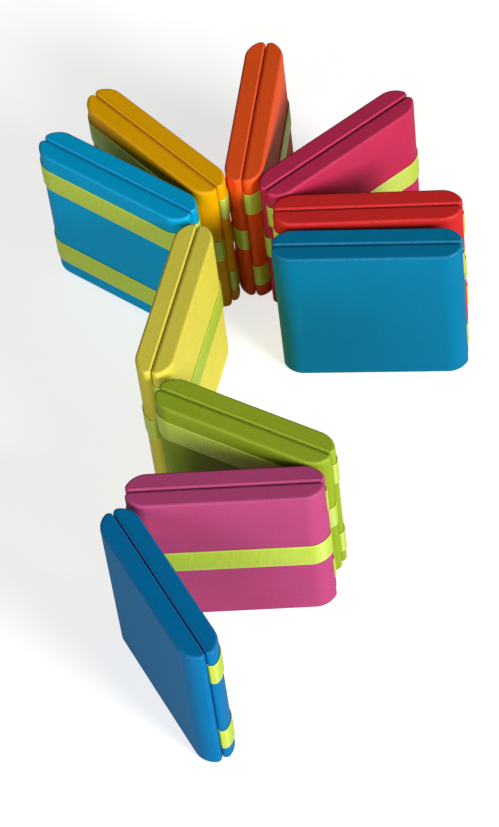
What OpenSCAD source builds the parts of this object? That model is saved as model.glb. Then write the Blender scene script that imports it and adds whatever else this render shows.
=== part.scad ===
// Jacob's ladder toy: blocks of two glued half-boards, held in a chain by crossed ribbons

/* [Blocks] */
// Length of a block from end to end
block_l = 62; // [50:0.5:80]
// Height of a block as it stands
block_h = 61.5; // [45:0.5:80]
// Thickness of one half-board
half_t = 6.5; // [5.5:0.1:8]
// Radius of the nose that rolls on the next block
roll_r = 7.5; // [6:0.1:7.8]
// Angle that the rolling nose spans before the tip
roll_span = 62; // [55:1:68]
// Rounding along the top and bottom edges
edge_r = 1; // [0.3:0.1:1.2]

/* [Ribbons] */
// Width of a ribbon
ribbon_w = 10; // [8:0.5:14]
// Thickness of a ribbon
ribbon_t = 0.3; // [0.2:0.05:0.6]
// Clearance between a ribbon and the wood it passes over
ribbon_gap = 0.1; // [0.05:0.05:0.3]
// Height from the middle ribbon to the top and low ones
ribbon_rise = 19; // [14:0.5:24]
// Length of ribbon end glued in the seam
tail_l = 9; // [5:0.5:14]
// Clearance around a ribbon end in its pocket
pocket_gap = 0.05; // [0:0.01:0.2]
// Clearance beside a ribbon end in its pocket
pocket_side = 0.2; // [0:0.05:0.5]
// Room beyond a ribbon end in its pocket
pocket_end = 0.3; // [0:0.05:1]

/* [Opening of each fold] */
// Angle between the navy and pink blocks
open_1_2 = 61.4; // [0:0.1:180]
// Angle between the pink and green blocks
open_2_3 = 28.2; // [0:0.1:180]
// Angle between the green and lemon blocks
open_3_4 = 104.1; // [0:0.1:180]
// Angle between the lemon and cyan blocks
open_4_5 = 111.5; // [0:0.1:180]
// Angle between the cyan and gold blocks
open_5_6 = 11.2; // [0:0.1:180]
// Angle between the gold and orange blocks
open_6_7 = 51.4; // [0:0.1:180]
// Angle between the orange and crimson blocks
open_7_8 = 43.8; // [0:0.1:180]
// Angle between the crimson and red blocks
open_8_9 = 39.6; // [0:0.1:180]
// Angle between the red and teal blocks
open_9_10 = 1.3; // [0:0.1:180]

/* [Ribbon slack at each fold] */
// Extra length between the navy and pink noses
slack_1_2 = 1.2; // [0:0.1:3]
// Extra length between the pink and green noses
slack_2_3 = 0.0; // [0:0.1:3]
// Extra length between the green and lemon noses
slack_3_4 = 2.6; // [0:0.1:3]
// Extra length between the lemon and cyan noses
slack_4_5 = 1.9; // [0:0.1:3]
// Extra length between the cyan and gold noses
slack_5_6 = 0.8; // [0:0.1:3]
// Extra length between the gold and orange noses
slack_6_7 = 0.0; // [0:0.1:3]
// Extra length between the orange and crimson noses
slack_7_8 = 0.0; // [0:0.1:3]
// Extra length between the crimson and red noses
slack_8_9 = 0.0; // [0:0.1:3]
// Extra length between the red and teal noses
slack_9_10 = 1.4; // [0:0.1:3]

/* [Place of the lemon block] */
// Sideways place of its centre
start_x = -29.202; // [-60:0.001:60]
// Depth place of its centre
start_y = 16.027; // [-60:0.001:60]
// Turn about the vertical
start_turn = 69.915; // [0:0.001:180]

/* [Hidden] */
$fn = 48;

// radius of the small nose that ends at the seam
tip_r = (half_t - roll_r * (1 - cos(roll_span))) / (1 + cos(roll_span));
// rolling centre: distance in from the block's end, and out from the seam
roll_in = (roll_r - tip_r) * sin(roll_span) + tip_r;
roll_y = half_t - roll_r;
roll_x = block_l / 2 - roll_in;
tip_x = block_l / 2 - tip_r;
// how far shapes of one piece run into each other
lap = 0.1;
// the nose wedge starts this far from the rolling centre, inside the seam strip
wedge_in = tip_r - roll_y - lap;
// flats that make up a rounded edge
edge_n = 3;
// pocket for a ribbon end
pocket_d = ribbon_t + 2 * pocket_gap;
pocket_w = ribbon_w + 2 * pocket_side;
pocket_l = tip_r + tail_l + pocket_end;
// ribbon centre line: off the rolling centre, off the tip centre, and out from the seam
wrap_r = roll_r + ribbon_gap + ribbon_t / 2;
wrap_tip_r = tip_r + ribbon_gap + ribbon_t / 2;
tail_y = pocket_d / 2;
// where the wrap meets the straight tail
tail_turn = acos((tip_r - tail_y) / wrap_tip_r);
mid_z = block_h / 2;

// each fold: hinge end and facing side on the lower block, the same on the higher block
folds = [[-1, 1, -1, -1], [1, 1, 1, -1], [-1, 1, -1, -1], [1, 1, 1, -1], [1, 1, 1, -1], [1, 1, -1, 1], [-1, -1, -1, 1], [-1, -1, -1, 1], [-1, -1, -1, 1]];
// true where the middle ribbon lies across the lower block's face
mid_on_lower = [false, true, false, true, true, true, true, true, true];
opens = [open_1_2, open_2_3, open_3_4, open_4_5, open_5_6, open_6_7, open_7_8, open_8_9, open_9_10];
slacks = [slack_1_2, slack_2_3, slack_3_4, slack_4_5, slack_5_6, slack_6_7, slack_7_8, slack_8_9, slack_9_10];

// a block's place is [x, y, turn]; e picks its end, f picks its side
function along(p, e) = e * [cos(p[2]), sin(p[2])];
function out_of(p, f) = f * [-sin(p[2]), cos(p[2])];
function at(p, e, f, u, v) = [p[0], p[1]] + u * along(p, e) + v * out_of(p, f);
function roll_c(p, e, f) = at(p, e, f, roll_x, roll_y);
function tip_c(p, e, f) = at(p, e, f, tip_x, tip_r);
function link_l(k) = 2 * wrap_r + slacks[k];

// place of the next block, rolled open on the nose of block p
function rolled(p, ea, fa, eb, fb, a, link) =
  let (d = along(p, ea), n = out_of(p, fa),
       c = roll_c(p, ea, fa) + link * (n * cos(a / 2) + d * sin(a / 2)),
       t = eb * (d * cos(a) - n * sin(a)),
       q = [0, 0, atan2(t[1], t[0])],
       o = roll_c(q, eb, fb))
  [c[0] - o[0], c[1] - o[1], q[2]];
function after(k, p) = rolled(p, folds[k][0], folds[k][1], folds[k][2], folds[k][3], opens[k], link_l(k));
function before(k, p) = rolled(p, folds[k][2], folds[k][3], folds[k][0], folds[k][1], opens[k], link_l(k));

p4 = [start_x, start_y, start_turn];
p3 = before(2, p4);
p2 = before(1, p3);
p1 = before(0, p2);
p5 = after(3, p4);
p6 = after(4, p5);
p7 = after(5, p6);
p8 = after(6, p7);
p9 = after(7, p8);
p10 = after(8, p9);
places = [p1, p2, p3, p4, p5, p6, p7, p8, p9, p10];

// ribbon path: points with their left normals
function turn_of(v) = atan2(v[1], v[0]);
function left_of(a) = [-sin(a), cos(a)];
function wrap(a) = a - 360 * floor(a / 360);
// heading of the straight run that leaves one circle and meets the next; s is the sense of turning
function heading(c1, r1, s1, c2, r2, s2) =
  let (d = c2 - c1) turn_of(d) - asin(min(1, max(-1, (s2 * r2 - s1 * r1) / norm(d))));
function arc(c, r, s, a1, a2) =
  let (w = wrap(s * (a2 - a1)), n = max(1, ceil(w / 6)))
  [for (i = [0:n]) let (a = a1 + s * w * i / n) [c - s * r * left_of(a), left_of(a)]];
function mitre(a, b) = (left_of(a) + left_of(b)) / (1 + left_of(a) * left_of(b));
function last(v) = v[len(v) - 1];
function rest(v) = [for (i = [1:1:len(v) - 1]) v[i]];
function less(v) = [for (i = [0:1:len(v) - 2]) v[i]];
function join(a, b) =
  len(b) == 0 ? a : norm(last(a)[0] - b[0][0]) < ribbon_t / 15 ? concat(a, rest(b)) : concat(a, b);
// the whole path: seam of the carrying block, over its face, across the hinge, into the seam of the other
function ribbon_path(p, ep, fp, q, eq, fq) =
  let (d = along(p, ep), n = out_of(p, fp), dq = along(q, eq), nq = out_of(q, fq),
       sp = d[0] * n[1] - d[1] * n[0] > 0 ? -1 : 1, sq = -sp,
       tip0 = tip_c(p, -ep, fp), big0 = roll_c(p, -ep, fp), big1 = roll_c(p, ep, fp),
       big2 = roll_c(q, eq, fq), tip2 = tip_c(q, eq, fq),
       h0 = turn_of(-d), h1 = turn_of(-cos(tail_turn) * d + sin(tail_turn) * n),
       h2 = turn_of(cos(roll_span) * d + sin(roll_span) * n),
       h5 = turn_of(cos(roll_span) * dq - sin(roll_span) * nq),
       h6 = turn_of(-cos(tail_turn) * dq - sin(tail_turn) * nq), h7 = turn_of(-dq),
       cross_a = heading(big1, wrap_r, sp, big2, wrap_r, sq),
       on_face = wrap(sp * (cross_a - turn_of(d))) < 180,
       from = on_face ? big1 : big0,
       cross_b = heading(from, wrap_r, sp, big2, wrap_r, sq),
       on_big = wrap(sq * (h5 - cross_b)) < 180,
       to = on_big ? big2 : tip2, to_r = on_big ? wrap_r : wrap_tip_r,
       cross = heading(from, wrap_r, sp, to, to_r, sq),
       start = at(p, -ep, fp, tip_x - tail_l, tail_y), end = at(q, eq, fq, tip_x - tail_l, tail_y),
       a_tip = arc(tip0, wrap_tip_r, sp, h1, h2),
       a_far = arc(big0, wrap_r, sp, h2, on_face ? turn_of(d) : cross),
       a_near = on_face ? arc(big1, wrap_r, sp, turn_of(d), cross) : [],
       a_big = on_big ? arc(big2, wrap_r, sq, cross, h5) : [],
       a_end = arc(tip2, wrap_tip_r, sq, on_big ? h5 : cross, h6))
  concat([[start, left_of(h0)], [a_tip[0][0], mitre(h0, h1)]],
         less(rest(join(join(join(join(a_tip, a_far), a_near), a_big), a_end))),
         [[last(a_end)[0], mitre(h6, h7)], [end, left_of(h7)]]);

// a section's rounded corner about c, from angle a through a quarter turn
function corner(c, a) =
  [for (i = [0:edge_n]) c + edge_r * [cos(a + 90 * i / edge_n), sin(a + 90 * i / edge_n)]];

// section of the flat run, rounded on all its edges
module run_section()
  polygon(concat(corner([half_t - edge_r, edge_r], -90), corner([half_t - edge_r, block_h - edge_r], 0),
                 corner([edge_r, block_h - edge_r], 90), corner([edge_r, edge_r], 180)));

// section of the strip along the seam, rounded on the seam side
module seam_section()
  polygon(concat([[tip_r, 0], [tip_r, block_h]],
                 corner([edge_r, block_h - edge_r], 90), corner([edge_r, edge_r], 180)));

// section of a nose from one radius to another, rounded outside
module nose_section(r_in, r_out)
  polygon(concat([[r_in, block_h], [r_in, 0]],
                 corner([r_out - edge_r, edge_r], -90), corner([r_out - edge_r, block_h - edge_r], 0)));

// one half-board: seam on y = 0, outer face on y = half_t
module half_shape() {
  translate([-roll_x, 0, 0]) rotate([90, 0, 90]) linear_extrude(2 * roll_x) run_section();
  for (s = [0, 1]) mirror([s, 0, 0]) {
    translate([roll_x, 0, 0]) rotate([90, 0, 90]) linear_extrude(tip_x - roll_x) seam_section();
    translate([roll_x, roll_y, 0]) rotate([0, 0, 90 - roll_span]) rotate_extrude(angle = roll_span) nose_section(wedge_in, roll_r);
    translate([tip_x, tip_r, 0]) rotate_extrude() nose_section(0, tip_r);
    translate([roll_x - edge_r, 0.4 * tip_r, 2 * edge_r]) cube([2 * edge_r, 0.4 * tip_r, block_h - 4 * edge_r]);
  }
}

// pockets in the seam face: each is [end, height of the ribbon's middle]
module half_board(p, f, pockets) {
  translate([p[0], p[1], 0]) rotate([0, 0, p[2]]) mirror([0, f > 0 ? 0 : 1, 0])
    difference() {
      half_shape();
      for (c = pockets)
        translate([c[0] > 0 ? block_l / 2 - pocket_l : -block_l / 2 - tip_r, -tip_r, c[1] - pocket_w / 2])
          cube([pocket_l + tip_r, pocket_d + tip_r, pocket_w]);
    }
}

// heights where a ribbon end enters: one in the middle, or one above and one below
function mid_at(e) = [[e, mid_z]];
function pair_at(e) = [[e, mid_z - ribbon_rise], [e, mid_z + ribbon_rise]];
function pockets_of(e, carries_mid) =
  carries_mid ? concat(mid_at(-e), pair_at(e)) : concat(pair_at(-e), mid_at(e));
// pockets on the lower and the higher block of a fold
function low_pockets(k) = pockets_of(folds[k][0], mid_on_lower[k]);
function high_pockets(k) = pockets_of(folds[k][2], !mid_on_lower[k]);

// one ribbon of a fold; level is -1 low, 0 middle, 1 top
module ribbon(k, level) {
  f = folds[k];
  lower = level == 0 ? mid_on_lower[k] : !mid_on_lower[k];
  a = places[k];
  b = places[k + 1];
  path = lower ? ribbon_path(a, f[0], f[1], b, f[2], f[3]) : ribbon_path(b, f[2], f[3], a, f[0], f[1]);
  n = len(path);
  translate([0, 0, mid_z + level * ribbon_rise - ribbon_w / 2]) linear_extrude(ribbon_w)
    polygon(concat([for (q = path) q[0] + q[1] * ribbon_t / 2],
                   [for (i = [n - 1:-1:0]) path[i][0] - path[i][1] * ribbon_t / 2]));
}

module navy_inner_half() color("#0077B2") half_board(p1, 1, low_pockets(0));
module navy_outer_half() color("#0077B2") half_board(p1, -1, []);
module pink_front_half() color("#C24E80") half_board(p2, -1, high_pockets(0));
module pink_back_half() color("#C24E80") half_board(p2, 1, low_pockets(1));
module green_front_half() color("#A0BA2A") half_board(p3, -1, high_pockets(1));
module green_back_half() color("#A0BA2A") half_board(p3, 1, low_pockets(2));
module lemon_left_half() color("#ECDD50") half_board(p4, 1, low_pockets(3));
module lemon_right_half() color("#ECDD50") half_board(p4, -1, high_pockets(2));
module cyan_front_half() color("#00AEE6") half_board(p5, -1, high_pockets(3));
module cyan_back_half() color("#00AEE6") half_board(p5, 1, low_pockets(4));
module gold_front_half() color("#F1AE00") half_board(p6, -1, high_pockets(4));
module gold_back_half() color("#F1AE00") half_board(p6, 1, low_pockets(5));
module orange_left_half() color("#E85522") half_board(p7, 1, high_pockets(5));
module orange_right_half() color("#E85522") half_board(p7, -1, low_pockets(6));
module crimson_back_half() color("#DA3A66") half_board(p8, 1, high_pockets(6));
module crimson_front_half() color("#DA3A66") half_board(p8, -1, low_pockets(7));
module red_back_half() color("#DE2E2C") half_board(p9, 1, high_pockets(7));
module red_front_half() color("#DE2E2C") half_board(p9, -1, low_pockets(8));
module teal_back_half() color("#007CA8") half_board(p10, 1, high_pockets(8));
module teal_front_half() color("#007CA8") half_board(p10, -1, []);
module navy_pink_top_ribbon() color("#BCDC3E") ribbon(0, 1);
module navy_pink_mid_ribbon() color("#BCDC3E") ribbon(0, 0);
module navy_pink_low_ribbon() color("#BCDC3E") ribbon(0, -1);
module pink_green_top_ribbon() color("#BCDC3E") ribbon(1, 1);
module pink_green_mid_ribbon() color("#BCDC3E") ribbon(1, 0);
module pink_green_low_ribbon() color("#BCDC3E") ribbon(1, -1);
module green_lemon_top_ribbon() color("#BCDC3E") ribbon(2, 1);
module green_lemon_mid_ribbon() color("#BCDC3E") ribbon(2, 0);
module green_lemon_low_ribbon() color("#BCDC3E") ribbon(2, -1);
module lemon_cyan_top_ribbon() color("#BCDC3E") ribbon(3, 1);
module lemon_cyan_mid_ribbon() color("#BCDC3E") ribbon(3, 0);
module lemon_cyan_low_ribbon() color("#BCDC3E") ribbon(3, -1);
module cyan_gold_top_ribbon() color("#BCDC3E") ribbon(4, 1);
module cyan_gold_mid_ribbon() color("#BCDC3E") ribbon(4, 0);
module cyan_gold_low_ribbon() color("#BCDC3E") ribbon(4, -1);
module gold_orange_top_ribbon() color("#BCDC3E") ribbon(5, 1);
module gold_orange_mid_ribbon() color("#BCDC3E") ribbon(5, 0);
module gold_orange_low_ribbon() color("#BCDC3E") ribbon(5, -1);
module orange_crimson_top_ribbon() color("#BCDC3E") ribbon(6, 1);
module orange_crimson_mid_ribbon() color("#BCDC3E") ribbon(6, 0);
module orange_crimson_low_ribbon() color("#BCDC3E") ribbon(6, -1);
module crimson_red_top_ribbon() color("#BCDC3E") ribbon(7, 1);
module crimson_red_mid_ribbon() color("#BCDC3E") ribbon(7, 0);
module crimson_red_low_ribbon() color("#BCDC3E") ribbon(7, -1);
module red_teal_top_ribbon() color("#BCDC3E") ribbon(8, 1);
module red_teal_mid_ribbon() color("#BCDC3E") ribbon(8, 0);
module red_teal_low_ribbon() color("#BCDC3E") ribbon(8, -1);

navy_inner_half();
navy_outer_half();
pink_front_half();
pink_back_half();
green_front_half();
green_back_half();
lemon_left_half();
lemon_right_half();
cyan_front_half();
cyan_back_half();
gold_front_half();
gold_back_half();
orange_left_half();
orange_right_half();
crimson_back_half();
crimson_front_half();
red_back_half();
red_front_half();
teal_back_half();
teal_front_half();
navy_pink_top_ribbon();
navy_pink_mid_ribbon();
navy_pink_low_ribbon();
pink_green_top_ribbon();
pink_green_mid_ribbon();
pink_green_low_ribbon();
green_lemon_top_ribbon();
green_lemon_mid_ribbon();
green_lemon_low_ribbon();
lemon_cyan_top_ribbon();
lemon_cyan_mid_ribbon();
lemon_cyan_low_ribbon();
cyan_gold_top_ribbon();
cyan_gold_mid_ribbon();
cyan_gold_low_ribbon();
gold_orange_top_ribbon();
gold_orange_mid_ribbon();
gold_orange_low_ribbon();
orange_crimson_top_ribbon();
orange_crimson_mid_ribbon();
orange_crimson_low_ribbon();
crimson_red_top_ribbon();
crimson_red_mid_ribbon();
crimson_red_low_ribbon();
red_teal_top_ribbon();
red_teal_mid_ribbon();
red_teal_low_ribbon();
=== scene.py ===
# Jacob's ladder toy: lacquered blocks, each of two half-boards, chained by crossed satin ribbons
import math
import bpy
from mathutils import Matrix, Vector


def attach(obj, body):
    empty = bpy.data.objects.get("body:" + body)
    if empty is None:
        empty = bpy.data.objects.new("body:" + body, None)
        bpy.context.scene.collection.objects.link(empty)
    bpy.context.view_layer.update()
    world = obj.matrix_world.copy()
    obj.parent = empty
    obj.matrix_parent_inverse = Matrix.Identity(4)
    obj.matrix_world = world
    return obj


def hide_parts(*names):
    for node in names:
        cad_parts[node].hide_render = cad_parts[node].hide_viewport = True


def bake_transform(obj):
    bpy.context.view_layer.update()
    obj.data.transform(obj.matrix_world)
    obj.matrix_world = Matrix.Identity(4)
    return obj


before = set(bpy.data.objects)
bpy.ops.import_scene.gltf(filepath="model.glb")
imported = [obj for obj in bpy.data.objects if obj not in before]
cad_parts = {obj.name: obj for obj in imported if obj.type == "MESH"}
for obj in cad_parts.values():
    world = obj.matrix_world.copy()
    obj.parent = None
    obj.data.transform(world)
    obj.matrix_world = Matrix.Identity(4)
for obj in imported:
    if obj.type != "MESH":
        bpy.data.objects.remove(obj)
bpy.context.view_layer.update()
scene = bpy.context.scene
scene.view_settings.view_transform = "Standard"
mm = 0.001
print("frame loaded,", len(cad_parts), "nodes")

# camera: fitted to the block edges in the photograph, which is 499 x 827
cameraValues = {
    "target": (-10.315, 11.349, 0.0),  # mm
    "elevation": 53.6074, "roll": -7.8593,  # degrees
    "distance": 1164.737,  # mm
    "focal": 3479.713 / 827,  # focal length as a share of the picture's height
    "sensor": 36.0,  # mm, the picture's height in the camera
    "clip": (0.05, 20.0),  # metres, nearest and farthest that it sees
}


def makeCamera(v):
    data = bpy.data.cameras.new("photoCamera")
    data.sensor_fit = "VERTICAL"
    data.sensor_height = v["sensor"]
    data.lens = v["sensor"] * v["focal"]
    data.clip_start, data.clip_end = v["clip"]
    elevation, roll = math.radians(v["elevation"]), math.radians(v["roll"])
    ahead = Vector((0, math.cos(elevation), -math.sin(elevation)))
    level = Vector((1, 0, 0))
    upright = level.cross(ahead)
    right = math.cos(roll) * level + math.sin(roll) * upright
    up = -math.sin(roll) * level + math.cos(roll) * upright
    place = (Vector(v["target"]) - ahead * v["distance"]) * mm
    camera = bpy.data.objects.new("photoCamera", data)
    camera.matrix_world = Matrix.Translation(place) @ Matrix((right, up, -ahead)).transposed().to_4x4()
    scene.collection.objects.link(camera)
    scene.camera = camera


makeCamera(cameraValues)
print("camera set")


def linear(code):  # sRGB hex to the linear colour that nodes take
    parts = [int(code[i:i + 2], 16) / 255 for i in (1, 3, 5)]
    return [p / 12.92 if p <= 0.04045 else ((p + 0.055) / 1.055) ** 2.4 for p in parts] + [1.0]


def addNode(tree, kind, links=None, **settings):  # links: input name or number, to a socket or a value
    node = tree.nodes.new(kind)
    for key, value in settings.items():
        setattr(node, key, value)
    for key, value in (links or {}).items():
        if isinstance(value, bpy.types.NodeSocket):
            tree.links.new(value, node.inputs[key])
        else:
            node.inputs[key].default_value = value
    return node


# sprayed lacquer on sanded wood: a matte colour coat under a thin clear one, which gives the real shine,
# a faint orange peel, and rounded edges painted paler towards white: partly a thinner, worn film, partly a
# painted highlight along the rims
lacquerValues = {
    "peel": 0.8,  # mm from crest to crest; real peel is about half that, drawn coarser so that it shows
    "grain": 0.4,  # mm between the wood's pores where they print through, also drawn coarse
    "grainDraw": (0.4, 1.0, 1.0),  # the pores run along the board
    "grainHeight": 0.4,  # as a share of the peel's
    "bump": 0.5, "bumpHeight": 0.02,  # mm
    "cloud": 18.0,  # mm, slow drift of the film's thickness
    "noiseLow": 0.3, "noiseHigh": 0.7,  # nearly all of a noise lies between these
    "drift": (0.97, 1.03), "fleck": (0.94, 1.05),  # what cloud and pores do to the colour
    "roughness": (0.41, 0.51),  # from clear to cloudy
    "wornAndHighlitFrom": 0.2, "wornAndHighlitTo": 0.7, "wornAndHighlit": 0.22,  # where the edges pale, a worn film and a painted highlight, and how far at most
    "paleKeeps": 0.8, "paleGains": 0.16,  # the pale edge colour's share of the colour, and of white
    "coat": 0.12, "coatRoughness": 0.25, "coatIor": 1.5,
    "colours": {
        "navy": "#0077B2", "pink": "#BE4A7E", "green": "#A0BA2A", "lemon": "#F0E252", "cyan": "#00AEE6",
        "gold": "#FFB800", "orange": "#FB5C20", "crimson": "#C93058", "red": "#DE2E2C", "teal": "#007CA8",
    },
}


def makeLacquer(name, code, v):
    material = bpy.data.materials.new(name + "GlossLacquer")
    material.use_nodes = True
    tree = material.node_tree
    shader = tree.nodes["Principled BSDF"]
    place = addNode(tree, "ShaderNodeAttribute", attribute_name="boardPlace").outputs["Vector"]
    edge = addNode(tree, "ShaderNodeAttribute", attribute_name="edgeRound").outputs["Fac"]
    cloud = addNode(tree, "ShaderNodeTexNoise", {"Vector": place, "Scale": 1 / v["cloud"], "Detail": 3.0})
    peel = addNode(tree, "ShaderNodeTexNoise", {"Vector": place, "Scale": 1 / v["peel"], "Detail": 1.0})
    drawn = addNode(tree, "ShaderNodeMapping", {"Vector": place, "Scale": v["grainDraw"]})
    grain = addNode(tree, "ShaderNodeTexNoise", {
        "Vector": drawn.outputs[0], "Scale": 1 / v["grain"], "Detail": 1.0})
    # colour: the cloud and the pores vary it, and the rounded edges pale, partly worn and partly a painted
    # highlight
    noiseReach = {"From Min": v["noiseLow"], "From Max": v["noiseHigh"]}
    drift = addNode(tree, "ShaderNodeMapRange", {
        "Value": cloud.outputs[0], **noiseReach, "To Min": v["drift"][0], "To Max": v["drift"][1]})
    fleck = addNode(tree, "ShaderNodeMapRange", {
        "Value": grain.outputs[0], **noiseReach, "To Min": v["fleck"][0], "To Max": v["fleck"][1]})
    both = addNode(tree, "ShaderNodeMath", {0: drift.outputs[0], 1: fleck.outputs[0]}, operation="MULTIPLY")
    base = linear(code)
    tint = addNode(tree, "ShaderNodeVectorMath", {0: base[:3], "Scale": both.outputs[0]}, operation="SCALE")
    # painted highlight: the rounded edges pale towards white, patchy with the peel, standing both for a worn
    # film and for the light that the rims catch
    wearAndHighlight = addNode(tree, "ShaderNodeMath", {0: edge, 1: peel.outputs[0]}, operation="MULTIPLY")
    wornAndHighlit = addNode(tree, "ShaderNodeMapRange", {
        "Value": wearAndHighlight.outputs[0], "From Min": v["wornAndHighlitFrom"], "From Max": v["wornAndHighlitTo"], "To Max": v["wornAndHighlit"]})
    pale = [min(1.0, c * v["paleKeeps"] + v["paleGains"]) for c in base[:3]] + [1.0]
    film = addNode(tree, "ShaderNodeMix", {0: wornAndHighlit.outputs[0], 6: tint.outputs[0], 7: pale}, data_type="RGBA")
    tree.links.new(film.outputs[2], shader.inputs["Base Color"])
    # surface
    gloss = addNode(tree, "ShaderNodeMapRange", {
        "Value": cloud.outputs[0], **noiseReach, "To Min": v["roughness"][0], "To Max": v["roughness"][1]})
    tree.links.new(gloss.outputs[0], shader.inputs["Roughness"])
    skin = addNode(tree, "ShaderNodeMath", {
        0: grain.outputs[0], 1: v["grainHeight"], 2: peel.outputs[0]}, operation="MULTIPLY_ADD")
    bump = addNode(tree, "ShaderNodeBump", {
        "Strength": v["bump"], "Distance": v["bumpHeight"] * mm, "Height": skin.outputs[0]})
    tree.links.new(bump.outputs[0], shader.inputs["Normal"])
    tree.links.new(bump.outputs[0], shader.inputs["Coat Normal"])
    shader.inputs["Specular IOR Level"].default_value = 0.0  # the colour coat doesn't shine
    shader.inputs["Coat Weight"].default_value = v["coat"]
    shader.inputs["Coat Roughness"].default_value = v["coatRoughness"]
    shader.inputs["Coat IOR"].default_value = v["coatIor"]
    return material


# woven satin ribbon: fine picks across its width under a soft sheen, and a tight selvedge at each edge, drawn
# paler, which also paints the highlight that the ribbon's edges catch
satinValues = {
    "colour": "#C4DC3A", "shadeColour": "#BAD132", "selvedgeAndGlintColour": "#D2E65E",
    "pick": 0.6,  # mm between the drawn picks; real ones are about 0.3 mm, drawn coarser so that they show
    "pickDraw": 0.1,  # the picks run across the ribbon
    "pickLow": 0.3, "pickHigh": 0.65,  # of the noise, from shade to full colour
    "selvedge": 0.5, "selvedgeStart": 0.1,  # mm wide, and mm over which it begins
    "selvedgeHeight": 0.5,  # as a share of the picks'
    "bump": 0.15, "bumpHeight": 0.06,  # mm
    "roughness": 0.6, "shine": 1.0,
    "combed": 0.9,  # the warp runs along the ribbon, so its shine spreads over the width
    "sheen": 0.06, "sheenRoughness": 0.4,
}


def makeSatin(v, width):
    material = bpy.data.materials.new("limeSatinRibbon")
    material.use_nodes = True
    tree = material.node_tree
    shader = tree.nodes["Principled BSDF"]
    along = addNode(tree, "ShaderNodeAttribute", attribute_name="alongRibbon").outputs["Fac"]
    across = addNode(tree, "ShaderNodeAttribute", attribute_name="acrossRibbon").outputs["Fac"]
    slow = addNode(tree, "ShaderNodeMath", {0: across, 1: v["pickDraw"]}, operation="MULTIPLY")
    where = addNode(tree, "ShaderNodeCombineXYZ", {0: along, 1: slow.outputs[0]})
    picks = addNode(tree, "ShaderNodeTexNoise", {
        "Vector": where.outputs[0], "Scale": 1 / v["pick"], "Detail": 2.0})
    # colour
    body = addNode(tree, "ShaderNodeMapRange", {
        "Value": picks.outputs[0], "From Min": v["pickLow"], "From Max": v["pickHigh"]})
    colour = addNode(tree, "ShaderNodeMix", {
        0: body.outputs[0], 6: linear(v["shadeColour"]), 7: linear(v["colour"])}, data_type="RGBA")
    reach = addNode(tree, "ShaderNodeMath", {0: across}, operation="ABSOLUTE")
    inner = width / 2 - v["selvedge"]
    border = addNode(tree, "ShaderNodeMapRange", {
        "Value": reach.outputs[0], "From Min": inner - v["selvedgeStart"], "From Max": inner})
    # painted highlight: the paler selvedge colour stands for the selvedge and also for the light caught along
    # the ribbon's edges
    edged = addNode(tree, "ShaderNodeMix", {
        0: border.outputs[0], 6: colour.outputs[2], 7: linear(v["selvedgeAndGlintColour"])}, data_type="RGBA")
    tree.links.new(edged.outputs[2], shader.inputs["Base Color"])
    # surface
    raised = addNode(tree, "ShaderNodeMath", {
        0: border.outputs[0], 1: v["selvedgeHeight"], 2: picks.outputs[0]}, operation="MULTIPLY_ADD")
    bump = addNode(tree, "ShaderNodeBump", {
        "Strength": v["bump"], "Distance": v["bumpHeight"] * mm, "Height": raised.outputs[0]})
    tree.links.new(bump.outputs[0], shader.inputs["Normal"])
    shader.inputs["Roughness"].default_value = v["roughness"]
    shader.inputs["Specular IOR Level"].default_value = v["shine"]
    shader.inputs["Anisotropic"].default_value = v["combed"]
    upright = addNode(tree, "ShaderNodeCombineXYZ", {2: 1.0})  # as a ribbon's width is at every pose
    tree.links.new(upright.outputs[0], shader.inputs["Tangent"])
    shader.inputs["Sheen Weight"].default_value = v["sheen"]
    shader.inputs["Sheen Roughness"].default_value = v["sheenRoughness"]
    return material


# one block, one ribbon, and where the chain's blocks stand; millimetres and degrees
blockValues = {
    "length": 62.0, "height": 61.5, "halfThick": 6.5,
    "rollRadius": 7.5, "rollSpan": 62.0,  # the nose that rolls on the next block
    "edge": 1.0, "edgeSteps": 5,  # rounding of the top and bottom edges, and its faces
    "seam": 0.12,  # how far each board stays off the middle, where glue and ribbon ends hold the two apart
    "pocketDepth": 0.4, "pocketWidth": 10.4, "pocketEnd": 0.3,  # slits for the ribbon ends
    "points": 242,  # corners round the outline; even, and not in fours, so that none falls on a flat's middle
    "rimFold": 57.3,  # only the top and bottom rims fold by more
    "blockShift": 97.0, "sideShift": 41.0,  # between the lacquer patterns of two blocks, and of two boards
}
ribbonValues = {
    "width": 10.0, "thick": 0.3, "rise": 19.0,  # rise: from the middle ribbon to the top and low ones
    "gap": 0.1,  # between the ribbon and the wood that it passes over
    "tail": 9.0, "tailDepth": 0.2,  # the end in the seam: its length, and how far off the block's middle
    "edge": 0.12, "edgeSteps": 3,  # rounding along the ribbon's edges, and its faces
    "noseStep": 3.0, "tipStep": 8.0,  # between two points on a nose, and on a tip
    "bendLength": 7.0,  # of the face beside the nose, where the points stand closer
    "bendReach": 4.0,  # the least length over which the run bends
    "seamDepth": 0.45,  # off the other block's middle, where the turn is wholly that block's
    "tooClose": 0.002,  # two points nearer than this are one
    # steps on each stretch of the way; on the near nose, the least
    "steps": {"face": 14, "bend": 18, "nearNose": 16, "gap": 3, "crossing": 8, "tail": 6},
}
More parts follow.
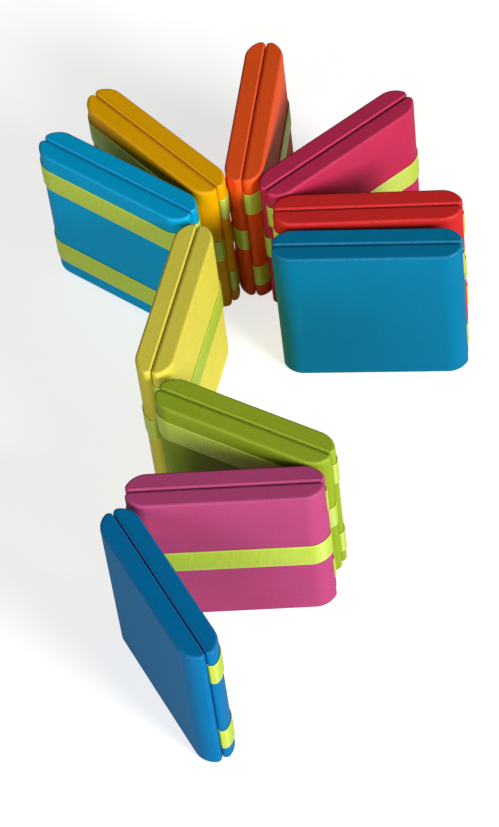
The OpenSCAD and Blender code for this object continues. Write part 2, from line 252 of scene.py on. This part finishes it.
chainValues = {
    "blocks": ["navy", "pink", "green", "lemon", "cyan", "gold", "orange", "crimson", "red", "teal"],
    "start": (-29.202, 16.027, 69.915), "startBlock": 3,  # the lemon block's centre and turn
    "opens": [61.4, 28.2, 104.1, 111.5, 11.2, 51.4, 43.8, 39.6, 1.3],  # opening of each fold
    "slacks": [1.2, 0, 2.6, 1.9, 0.8, 0, 0, 0, 1.4],  # loose ribbon at each fold
    # how far before the crossing the run ends and the turn begins, in folds that open flat
    "early": [1.7, 1.2, 3.1, 1.8, 0, 0, 0, 0, 0],
    # hinge end and facing side on the lower block, then on the higher block
    "folds": [(-1, 1, -1, -1), (1, 1, 1, -1), (-1, 1, -1, -1), (1, 1, 1, -1), (1, 1, 1, -1), (1, 1, -1, 1),
              (-1, -1, -1, 1), (-1, -1, -1, 1), (-1, -1, -1, 1)],
    # whether the middle ribbon crosses the lower block's face
    "midOnLower": [False, True, False, True, True, True, True, True, True],
    "levels": {"top": 1, "mid": 0, "low": -1},
    # the two boards of each block, by side
    "boards": {
        "navy": {1: "inner", -1: "outer"}, "pink": {1: "back", -1: "front"},
        "green": {1: "back", -1: "front"}, "lemon": {1: "left", -1: "right"},
        "cyan": {1: "back", -1: "front"}, "gold": {1: "back", -1: "front"},
        "orange": {1: "left", -1: "right"}, "crimson": {1: "back", -1: "front"},
        "red": {1: "back", -1: "front"}, "teal": {1: "back", -1: "front"},
    },
}

span = math.radians(blockValues["rollSpan"])
rollRadius = blockValues["rollRadius"]
tipRadius = (blockValues["halfThick"] - rollRadius * (1 - math.cos(span))) / (1 + math.cos(span))
tipX = blockValues["length"] / 2 - tipRadius
rollX = tipX - (rollRadius - tipRadius) * math.sin(span)
rollY = blockValues["halfThick"] - rollRadius
wrapRadius = rollRadius + ribbonValues["gap"] + ribbonValues["thick"] / 2
wrapTip = tipRadius + ribbonValues["gap"] + ribbonValues["thick"] / 2
pocketLength = tipRadius + ribbonValues["tail"] + blockValues["pocketEnd"]
tailTurn = math.acos((tipRadius - ribbonValues["tailDepth"]) / wrapTip)
lacquers = {name: makeLacquer(name, code, lacquerValues) for name, code in lacquerValues["colours"].items()}
satin = makeSatin(satinValues, ribbonValues["width"])
print("materials made")


# a block's place is (x, y, turn); end picks one of its ends and side one of its faces
def along(place, end):
    return end * Vector((math.cos(place[2]), math.sin(place[2])))


def outOf(place, side):
    return side * Vector((-math.sin(place[2]), math.cos(place[2])))


def spot(place, end, side, u, v):
    return Vector(place[:2]) + u * along(place, end) + v * outOf(place, side)


def rolled(place, endA, sideA, endB, sideB, opening, link):  # the next block, rolled open on this one's nose
    d, n = along(place, endA), outOf(place, sideA)
    apart = link * (n * math.cos(opening / 2) + d * math.sin(opening / 2))
    centre = spot(place, endA, sideA, rollX, rollY) + apart
    t = endB * (d * math.cos(opening) - n * math.sin(opening))
    turn = math.atan2(t[1], t[0])
    return (*(centre - spot((0, 0, turn), endB, sideB, rollX, rollY)), turn)


def chainPlaces(v):
    first = v["startBlock"]
    x, y, turn = v["start"]
    places = {first: (x, y, math.radians(turn))}
    opens = [math.radians(opening) for opening in v["opens"]]
    links = [2 * wrapRadius + slack for slack in v["slacks"]]
    for k in range(first - 1, -1, -1):
        endA, sideA, endB, sideB = v["folds"][k]
        places[k] = rolled(places[k + 1], endB, sideB, endA, sideA, opens[k], links[k])
    for k in range(first, len(opens)):
        places[k + 1] = rolled(places[k], *v["folds"][k], opens[k], links[k])
    return places


places = chainPlaces(chainValues)


def startTree(name, inputs):  # a node tree with named inputs; returns it and the sockets that carry them
    tree = bpy.data.node_groups.new(name, "GeometryNodeTree")
    tree.interface.new_socket("Geometry", in_out="INPUT", socket_type="NodeSocketGeometry")
    for label, kind in inputs.items():
        tree.interface.new_socket(label, in_out="INPUT", socket_type="NodeSocket" + kind)
    tree.interface.new_socket("Geometry", in_out="OUTPUT", socket_type="NodeSocketGeometry")
    return tree, addNode(tree, "NodeGroupInput").outputs


def runTree(obj, tree, values):
    modifier = obj.modifiers.new(tree.name, "NODES")
    modifier.node_group = tree
    for item in tree.interface.items_tree:
        if item.in_out == "INPUT" and item.name in values:
            modifier[item.identifier] = values[item.name]


def newObject(name, mesh):
    obj = bpy.data.objects.new(name, mesh)
    scene.collection.objects.link(obj)
    return obj


def settle(obj):  # the finished shape as a plain mesh, with nothing left live
    mesh = bpy.data.meshes.new_from_object(obj.evaluated_get(bpy.context.evaluated_depsgraph_get()))
    obj.modifiers.clear()
    obj.data = mesh
    mesh.name = obj.name
    return obj


# half-board: an outline of two noses and two tips, given by the way each corner faces, drawn up to its height
def boardTree():
    tree, given = startTree("halfBoard", {
        "Points": "Int", "Roll Radius": "Float", "Roll Span": "Float", "Roll X": "Float", "Roll Y": "Float",
        "Tip Radius": "Float", "Tip X": "Float", "Seam": "Float", "Height": "Float", "Rim Fold": "Float",
        "Pockets": "Bool", "Middle End": "Float", "Pocket Place": "Float", "Pocket Size": "Vector",
        "Rise": "Float", "Place": "Vector", "Turn": "Vector", "Material": "Material"})
    ring = addNode(tree, "GeometryNodeMeshCircle", {
        "Vertices": given["Points"], "Radius": 1.0}, fill_type="NGON")
    position = addNode(tree, "GeometryNodeInputPosition")
    facing = addNode(tree, "ShaderNodeSeparateXYZ", {0: position.outputs[0]}).outputs
    limit = addNode(tree, "ShaderNodeMath", {0: given["Roll Span"]}, operation="COSINE")
    onNose = addNode(tree, "ShaderNodeMath", {0: facing[1], 1: limit.outputs[0]}, operation="GREATER_THAN")
    end = addNode(tree, "ShaderNodeMath", {0: facing[0]}, operation="SIGN")
    radius = addNode(tree, "GeometryNodeSwitch", {
        0: onNose.outputs[0], 1: given["Tip Radius"], 2: given["Roll Radius"]}, input_type="FLOAT").outputs[0]
    centreX = addNode(tree, "GeometryNodeSwitch", {
        0: onNose.outputs[0], 1: given["Tip X"], 2: given["Roll X"]}, input_type="FLOAT").outputs[0]
    centreY = addNode(tree, "GeometryNodeSwitch", {
        0: onNose.outputs[0], 1: given["Tip Radius"], 2: given["Roll Y"]}, input_type="FLOAT").outputs[0]
    out = addNode(tree, "ShaderNodeMath", {0: radius, 1: facing[0]}, operation="MULTIPLY")
    x = addNode(tree, "ShaderNodeMath", {
        0: end.outputs[0], 1: centreX, 2: out.outputs[0]}, operation="MULTIPLY_ADD")
    y = addNode(tree, "ShaderNodeMath", {0: radius, 1: facing[1], 2: centreY}, operation="MULTIPLY_ADD")
    offSeam = addNode(tree, "ShaderNodeMath", {0: y.outputs[0], 1: given["Seam"]}, operation="MAXIMUM")
    corner = addNode(tree, "ShaderNodeCombineXYZ", {0: x.outputs[0], 1: offSeam.outputs[0]})
    outline = addNode(tree, "GeometryNodeSetPosition", {
        "Geometry": ring.outputs[0], "Position": corner.outputs[0]})
    raised = addNode(tree, "GeometryNodeExtrudeMesh", {
        "Mesh": outline.outputs[0], "Offset Scale": given["Height"], "Individual": False}, mode="FACES")
    under = addNode(tree, "GeometryNodeFlipFaces", {0: outline.outputs[0]})
    both = addNode(tree, "GeometryNodeJoinGeometry", {0: under.outputs[0]})
    tree.links.new(raised.outputs[0], both.inputs[0])
    closed = addNode(tree, "GeometryNodeMergeByDistance", {
        "Geometry": both.outputs[0], "Distance": 0.001 * mm})
    # the rims are marked for the rounding
    fold = addNode(tree, "GeometryNodeInputMeshEdgeAngle")
    rim = addNode(tree, "ShaderNodeMath", {
        0: fold.outputs[0], 1: given["Rim Fold"]}, operation="GREATER_THAN")
    marked = addNode(tree, "GeometryNodeStoreNamedAttribute", {
        "Geometry": closed.outputs[0], "Selection": rim.outputs[0],
        "Name": "bevel_weight_edge", "Value": 1.0}, data_type="FLOAT", domain="EDGE")
    # three slits: the middle one at one end, the upper and lower at the other
    index = addNode(tree, "GeometryNodeInputIndex")
    level = addNode(tree, "ShaderNodeMath", {0: index.outputs[0], 1: -1.0}, operation="ADD").outputs[0]
    isOuter = addNode(tree, "ShaderNodeMath", {0: level}, operation="ABSOLUTE")
    sense = addNode(tree, "ShaderNodeMath", {
        0: isOuter.outputs[0], 1: -2.0, 2: 1.0}, operation="MULTIPLY_ADD")
    atEnd = addNode(tree, "ShaderNodeMath", {
        0: sense.outputs[0], 1: given["Middle End"]}, operation="MULTIPLY")
    slitX = addNode(tree, "ShaderNodeMath", {
        0: atEnd.outputs[0], 1: given["Pocket Place"]}, operation="MULTIPLY")
    half = addNode(tree, "ShaderNodeMath", {0: given["Height"], 1: 0.5}, operation="MULTIPLY")
    slitZ = addNode(tree, "ShaderNodeMath", {
        0: level, 1: given["Rise"], 2: half.outputs[0]}, operation="MULTIPLY_ADD")
    slitAt = addNode(tree, "ShaderNodeCombineXYZ", {0: slitX.outputs[0], 2: slitZ.outputs[0]})
    slits = addNode(tree, "GeometryNodePoints", {"Count": 3, "Position": slitAt.outputs[0]})
    cutter = addNode(tree, "GeometryNodeMeshCube", {"Size": given["Pocket Size"]})
    cutters = addNode(tree, "GeometryNodeInstanceOnPoints", {
        "Points": slits.outputs[0], "Instance": cutter.outputs[0]})
    solidCutters = addNode(tree, "GeometryNodeRealizeInstances", {0: cutters.outputs[0]})
    cut = addNode(tree, "GeometryNodeMeshBoolean", {
        "Mesh 1": marked.outputs[0], "Mesh 2": solidCutters.outputs[0]},
        operation="DIFFERENCE", solver="EXACT")
    crisp = addNode(tree, "GeometryNodeSetShadeSmooth", {
        "Geometry": cut.outputs[0], "Selection": cut.outputs[1], "Shade Smooth": False}, domain="EDGE")
    chosen = addNode(tree, "GeometryNodeSwitch", {
        0: given["Pockets"], 1: marked.outputs[0], 2: crisp.outputs[0]}, input_type="GEOMETRY")
    # the finished board at its place in the chain
    placed = addNode(tree, "GeometryNodeTransform", {
        "Geometry": chosen.outputs[0], "Translation": given["Place"], "Rotation": given["Turn"]})
    smooth = addNode(tree, "GeometryNodeSetShadeSmooth", {
        "Geometry": placed.outputs[0], "Shade Smooth": True}, domain="FACE")
    real = addNode(tree, "GeometryNodeRealizeInstances", {0: smooth.outputs[0]})
    dressed = addNode(tree, "GeometryNodeSetMaterial", {
        "Geometry": real.outputs[0], "Material": given["Material"]})
    addNode(tree, "NodeGroupOutput", {0: dressed.outputs[0]})
    return tree


# which end takes the middle ribbon's slit on this board, or 0 where no ribbon enters
def slitEnd(block, side):
    for k, (endA, sideA, endB, sideB) in enumerate(chainValues["folds"]):
        carriesMid = chainValues["midOnLower"][k]
        if k == block and side == sideA:
            return -endA if carriesMid else endA
        if k + 1 == block and side == sideB:
            return endB if carriesMid else -endB
    return 0


def markBoard(mesh, place, turn, shift):
    # each point's own coordinates on the board in mm, shifted so that no two boards share a pattern,
    # and how much it is on a rounding
    back = Matrix.Rotation(-turn, 3, "Z")
    own, rounds = [], []
    for vertex in mesh.vertices:
        own.extend(back @ (vertex.co - place * mm) / mm + shift)
        rise = abs(vertex.normal.z)
        rounds.append(min(1.0, 2 * rise * math.sqrt(max(0.0, 1 - rise * rise))))
    mesh.attributes.new("boardPlace", "FLOAT_VECTOR", "POINT").data.foreach_set("vector", own)
    mesh.attributes.new("edgeRound", "FLOAT", "POINT").data.foreach_set("value", rounds)


def makeBoard(tree, block, side):
    v = blockValues
    name = chainValues["blocks"][block]
    part = chainValues["boards"][name][side]
    x, y, turn = places[block]
    turn += 0 if side > 0 else math.pi  # both ends are alike, so the other board is the same, turned round
    obj = newObject(f"{name}_{part}_board", bpy.data.meshes.new("board"))
    runTree(obj, tree, {
        "Points": v["points"], "Roll Radius": rollRadius * mm, "Roll Span": span, "Roll X": rollX * mm,
        "Roll Y": rollY * mm, "Tip Radius": tipRadius * mm, "Tip X": tipX * mm, "Seam": v["seam"] * mm,
        "Height": v["height"] * mm, "Rim Fold": math.radians(v["rimFold"]),
        "Pockets": slitEnd(block, side) != 0, "Middle End": float(slitEnd(block, side) * side),
        "Pocket Place": (v["length"] / 2 + (tipRadius - pocketLength) / 2) * mm,
        "Pocket Size": ((pocketLength + tipRadius) * mm, 2 * v["pocketDepth"] * mm, v["pocketWidth"] * mm),
        "Rise": ribbonValues["rise"] * mm, "Place": (x * mm, y * mm, 0.0), "Turn": (0.0, 0.0, turn),
        "Material": lacquers[name]})
    rounding = obj.modifiers.new("edge", "BEVEL")
    rounding.width = v["edge"] * mm
    rounding.segments = v["edgeSteps"]
    rounding.limit_method = "WEIGHT"
    rounding.use_clamp_overlap = False
    flat = obj.modifiers.new("flat", "WEIGHTED_NORMAL")
    flat.keep_sharp = True
    settle(obj)
    markBoard(obj.data, Vector((x, y, 0)), turn, Vector((v["blockShift"] * block, v["sideShift"] * side, 0)))
    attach(obj, f"{name}_block")
    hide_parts(f"{name}_{part}_half")
    return obj


halfBoard = boardTree()
boards = {(block, side): makeBoard(halfBoard, block, side)
          for block in range(len(chainValues["blocks"])) for side in (1, -1)}
print("boards made,", sum(len(o.data.polygons) for o in boards.values()), "faces")


# ribbon: a flat strip with softened edges, swept along its path
def ribbonTree():
    tree, given = startTree("satinRibbon", {
        "Width": "Float", "Thickness": "Float", "Edge": "Float", "Edge Steps": "Int", "Start Length": "Float",
        "Level": "Float", "Material": "Material"})
    path = addNode(tree, "GeometryNodeMeshToCurve", {"Mesh": given["Geometry"]})
    level = addNode(tree, "GeometryNodeSetCurveNormal", {0: path.outputs[0]}, mode="Z_UP")
    run = addNode(tree, "GeometryNodeSplineParameter").outputs["Length"]
    total = addNode(tree, "ShaderNodeMath", {0: run, 1: given["Start Length"]}, operation="ADD")
    inMm = addNode(tree, "ShaderNodeMath", {0: total.outputs[0], 1: 1 / mm}, operation="MULTIPLY")
    measured = addNode(tree, "GeometryNodeStoreNamedAttribute", {
        "Geometry": level.outputs[0], "Name": "alongRibbon", "Value": inMm.outputs[0]},
        data_type="FLOAT", domain="POINT")
    section = addNode(tree, "GeometryNodeCurvePrimitiveQuadrilateral", {
        "Width": given["Thickness"], "Height": given["Width"]}, mode="RECTANGLE")
    soft = addNode(tree, "GeometryNodeFilletCurve", {
        "Curve": section.outputs[0], "Radius": given["Edge"], "Limit Radius": True,
        "Count": given["Edge Steps"]}, mode="POLY")
    position = addNode(tree, "GeometryNodeInputPosition")
    sectionAt = addNode(tree, "ShaderNodeSeparateXYZ", {0: position.outputs[0]})
    wide = addNode(tree, "ShaderNodeMath", {0: sectionAt.outputs[1], 1: 1 / mm}, operation="MULTIPLY")
    profile = addNode(tree, "GeometryNodeStoreNamedAttribute", {
        "Geometry": soft.outputs[0], "Name": "acrossRibbon", "Value": wide.outputs[0]},
        data_type="FLOAT", domain="POINT")
    strip = addNode(tree, "GeometryNodeCurveToMesh", {
        "Curve": measured.outputs[0], "Profile Curve": profile.outputs[0], "Fill Caps": True})
    up = addNode(tree, "ShaderNodeCombineXYZ", {2: given["Level"]})
    placed = addNode(tree, "GeometryNodeTransform", {
        "Geometry": strip.outputs[0], "Translation": up.outputs[0]})
    smooth = addNode(tree, "GeometryNodeSetShadeSmooth", {
        "Geometry": placed.outputs[0], "Shade Smooth": True}, domain="FACE")
    real = addNode(tree, "GeometryNodeRealizeInstances", {0: smooth.outputs[0]})
    dressed = addNode(tree, "GeometryNodeSetMaterial", {
        "Geometry": real.outputs[0], "Material": given["Material"]})
    addNode(tree, "NodeGroupOutput", {0: dressed.outputs[0]})
    return tree


def turnOf(v):
    return math.atan2(v[1], v[0])


def leftOf(a):
    return Vector((-math.sin(a), math.cos(a)))


# heading of the straight run from one circle to the next; s is the sense of turning
def heading(c1, r1, s1, c2, r2, s2):
    away = c2 - c1
    return turnOf(away) - math.asin(max(-1.0, min(1.0, (s2 * r2 - s1 * r1) / away.length)))


def arc(c, r, s, a1, a2, least=2, step=ribbonValues["noseStep"]):
    sweep = (s * (a2 - a1)) % math.tau
    n = max(least, math.ceil(math.degrees(sweep) / step))
    return [c - s * r * leftOf(a1 + s * sweep * i / n) for i in range(n + 1)]


def between(a, b, n):
    return [a.lerp(b, i / n) for i in range(n + 1)]


def thread(*parts):  # joins point lists and drops points that repeat
    points = []
    for part in parts:
        for p in part:
            if not points or (p - points[-1]).length > ribbonValues["tooClose"]:
                points.append(p)
    return points


# a ribbon's way: out of the seam of its block p, over the far nose and the face, across the hinge,
# round the nose of the other block q and into its seam; in two pieces, the run and the turn
def ribbonPath(early, p, endP, sideP, q, endQ, sideQ):
    v, steps = ribbonValues, ribbonValues["steps"]
    d, n = along(p, endP), outOf(p, sideP)
    dq, nq = along(q, endQ), outOf(q, sideQ)
    s = -1 if d[0] * n[1] - d[1] * n[0] > 0 else 1
    farTip, farNose = spot(p, -endP, sideP, tipX, tipRadius), spot(p, -endP, sideP, rollX, rollY)
    nearNose, nextNose = spot(p, endP, sideP, rollX, rollY), spot(q, endQ, sideQ, rollX, rollY)
    nextTip = spot(q, endQ, sideQ, tipX, tipRadius)
    # headings where the way goes from tail to tip and from tip to nose, and on q from nose to tip to tail
    tailToTip = turnOf(-math.cos(tailTurn) * d + math.sin(tailTurn) * n)
    tipToNose = turnOf(math.cos(span) * d + math.sin(span) * n)
    noseToTip = turnOf(math.cos(span) * dq - math.sin(span) * nq)
    tipToTail = turnOf(-math.cos(tailTurn) * dq - math.sin(tailTurn) * nq)
    cross = heading(nearNose, wrapRadius, s, nextNose, wrapRadius, -s)
    onFace = (s * (cross - turnOf(d))) % math.tau < math.pi
    leaves = nearNose if onFace else farNose
    cross = heading(leaves, wrapRadius, s, nextNose, wrapRadius, -s)
    onNose = (-s * (noseToTip - cross)) % math.tau < math.pi
    if not onNose:  # a wide or slack fold: the ribbon meets the tip at once
        cross = heading(leaves, wrapRadius, s, nextTip, wrapTip, -s)
    tipArc = arc(farTip, wrapTip, s, tailToTip, tipToNose, step=v["tipStep"])
    farArc = arc(farNose, wrapRadius, s, tipToNose, turnOf(d) if onFace else cross)
    # the turn takes over between the two noses, or a little before, which may be on the near nose
    way = Vector((math.cos(cross), math.sin(cross)))
    leaving = nearNose - s * wrapRadius * leftOf(cross) if onFace else farArc[-1]
    straight = max(0.0, ((nearNose + nextNose) / 2 - leaving).dot(way))
    parting = cross - s * max(0.0, early - straight) / wrapRadius
    nearArc = arc(nearNose, wrapRadius, s, turnOf(d), parting, steps["nearNose"]) if onFace else []
    lastArc = arc(nearNose, wrapRadius, s, parting, cross) if onFace and early > straight else []
    crossing = nearArc[-1] if lastArc else leaving + way * max(0.0, straight - early)
    noseArc = arc(nextNose, wrapRadius, -s, cross, noseToTip) if onNose else []
    endArc = arc(nextTip, wrapTip, -s, noseToTip if onNose else cross, tipToTail, step=v["tipStep"])
    # the run, with closer points on the last of the face
    faceEnd = nearArc[0] if onFace else crossing
    bend = farArc[-1].lerp(faceEnd, 1 - v["bendLength"] / (faceEnd - farArc[-1]).length)
    face = thread(between(farArc[-1], bend, steps["face"]), between(bend, faceEnd, steps["bend"]))
    gap = between(nearArc[-1], crossing, steps["gap"]) if onFace else []
    start = spot(p, -endP, sideP, tipX - v["tail"], v["tailDepth"])
    run = thread([start], tipArc, farArc, face, nearArc, gap)
    run[-1] = crossing
    # the turn
    over = between((lastArc or [crossing])[-1], (noseArc + endArc)[0], steps["crossing"])
    end = spot(q, endQ, sideQ, tipX - v["tail"], v["tailDepth"])
    turn = thread(lastArc, over, noseArc, endArc, between(endArc[-1], end, steps["tail"]))
    # the bend reaches back along the face where the fold is nearly shut
    tangent = nearNose + wrapRadius * n
    reach = max(0.0, v["bendReach"] - (crossing - tangent).length)
    depth = (crossing - Vector(q[:2])).dot(nq)
    return run, turn, tangent - reach * d, crossing, crossing - nq * (depth - v["seamDepth"])


def wayLength(points):
    return sum((b - a).length for a, b in zip(points, points[1:]))


def makeStrip(tree, name, points, startLength, level):
    mesh = bpy.data.meshes.new(name)
    corners = [(p[0] * mm, p[1] * mm, 0.0) for p in points]
    mesh.from_pydata(corners, [(i, i + 1) for i in range(len(corners) - 1)], [])
    obj = newObject(name, mesh)
    v = ribbonValues
    runTree(obj, tree, {
        "Width": v["width"] * mm, "Thickness": v["thick"] * mm,
        "Edge": v["edge"] * mm, "Edge Steps": v["edgeSteps"],
        "Start Length": startLength * mm, "Level": level * mm, "Material": satin})
    return settle(obj)


def makeRibbon(tree, fold, label, level):
    blocks = chainValues["blocks"]
    lower, higher = blocks[fold], blocks[fold + 1]
    endA, sideA, endB, sideB = chainValues["folds"][fold]
    first, second = (fold, endA, sideA), (fold + 1, endB, sideB)
    if chainValues["midOnLower"][fold] != (level == 0):
        first, second = second, first
    run, turn, bendStart, crossing, seamEntry = ribbonPath(
        chainValues["early"][fold], places[first[0]], *first[1:], places[second[0]], *second[1:])
    height = blockValues["height"] / 2 + level * ribbonValues["rise"]
    base = f"{lower}_{higher}_{label}"
    runPiece = makeStrip(tree, base + "_run", run, 0.0, height)
    turnPiece = makeStrip(tree, base + "_turn", turn, wayLength(run), height)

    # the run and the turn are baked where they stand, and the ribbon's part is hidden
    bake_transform(runPiece)
    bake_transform(turnPiece)
    for piece, points, on in ((runPiece, run, first), (turnPiece, turn, second)):
        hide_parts(base + "_ribbon")
    return runPiece, turnPiece


satinRibbon = ribbonTree()
ribbons = [makeRibbon(satinRibbon, fold, label, level)
           for fold in range(len(chainValues["folds"])) for label, level in chainValues["levels"].items()]
print("ribbons made,", len(ribbons), "in two pieces each")

# studio: a white floor, a lamp low at the front right, a wide weak one at the front left, and a pale sky
studioValues = {
    "floor": "#D2D2D0", "floorRoughness": 0.9, "floorShine": 0.1,
    "floorReach": 9.0,  # metres from the middle to an edge
    "floorGlow": 0.72,  # what the floor gives to the camera and to reflections beside the light it gets
    "tooth": 10 / 9,  # mm from crest to crest; a paper's real tooth is finer, drawn coarser so that it shows
    "toothBump": 0.05, "toothHeight": 0.02,  # mm
    "sky": "#FFFFFF", "skyLight": 0.03,
    # place and width in metres, watts
    "lamps": {"keyLamp": ((1.84, -2.0, 1.32), 1.1, 90.0), "fillLamp": ((-1.3, -2.4, 1.0), 1.8, 33.0)},
    "aim": (0, 0, 0.03),  # metres, the middle of the toy
}


def seenDirectly(tree):  # 1 where the camera, a reflection or glass looks, 0 for light on its way to the toy
    light = addNode(tree, "ShaderNodeLightPath").outputs
    seen = addNode(tree, "ShaderNodeMath", {
        0: light["Is Camera Ray"], 1: light["Is Glossy Ray"]}, operation="MAXIMUM")
    shown = addNode(tree, "ShaderNodeMath", {
        0: seen.outputs[0], 1: light["Is Transmission Ray"]}, operation="MAXIMUM")
    return shown.outputs[0]


def makeFloor(v):
    r = v["floorReach"]
    mesh = bpy.data.meshes.new("studioFloor")
    mesh.from_pydata([(-r, -r, 0), (r, -r, 0), (r, r, 0), (-r, r, 0)], [], [(0, 1, 2, 3)])
    material = bpy.data.materials.new("matteFloorPaper")  # matte paper, with a faint tooth
    material.use_nodes = True
    tree = material.node_tree
    shader = tree.nodes["Principled BSDF"]
    where = addNode(tree, "ShaderNodeTexCoord").outputs["Object"]
    tooth = addNode(tree, "ShaderNodeTexNoise", {"Vector": where, "Scale": 1 / (v["tooth"] * mm)})
    bump = addNode(tree, "ShaderNodeBump", {
        "Strength": v["toothBump"], "Distance": v["toothHeight"] * mm, "Height": tooth.outputs[0]})
    tree.links.new(bump.outputs[0], shader.inputs["Normal"])
    shader.inputs["Base Color"].default_value = linear(v["floor"])
    shader.inputs["Roughness"].default_value = v["floorRoughness"]
    shader.inputs["Specular IOR Level"].default_value = v["floorShine"]
    shader.inputs["Emission Color"].default_value = (1, 1, 1, 1)
    glow = addNode(tree, "ShaderNodeMath", {0: seenDirectly(tree), 1: v["floorGlow"]}, operation="MULTIPLY")
    tree.links.new(glow.outputs[0], shader.inputs["Emission Strength"])
    mesh.materials.append(material)
    newObject("studioFloor", mesh)


def makeSky(v):
    world = bpy.data.worlds.new("studioSky")
    world.use_nodes = True
    scene.world = world
    tree = world.node_tree
    level = addNode(tree, "ShaderNodeMapRange", {"Value": seenDirectly(tree), "To Min": v["skyLight"]})
    back = tree.nodes["Background"]
    back.inputs["Color"].default_value = linear(v["sky"])
    tree.links.new(level.outputs[0], back.inputs["Strength"])


def makeLamp(name, place, width, power, aim):
    lamp = bpy.data.lights.new(name, "AREA")
    lamp.shape = "DISK"
    lamp.size = width
    lamp.energy = power
    obj = newObject(name, lamp)
    obj.location = place
    obj.rotation_euler = (Vector(aim) - Vector(place)).to_track_quat("-Z", "Y").to_euler()


makeFloor(studioValues)
makeSky(studioValues)
for name, lampValues in studioValues["lamps"].items():
    makeLamp(name, *lampValues, studioValues["aim"])
print("studio set")

bpy.context.view_layer.update()
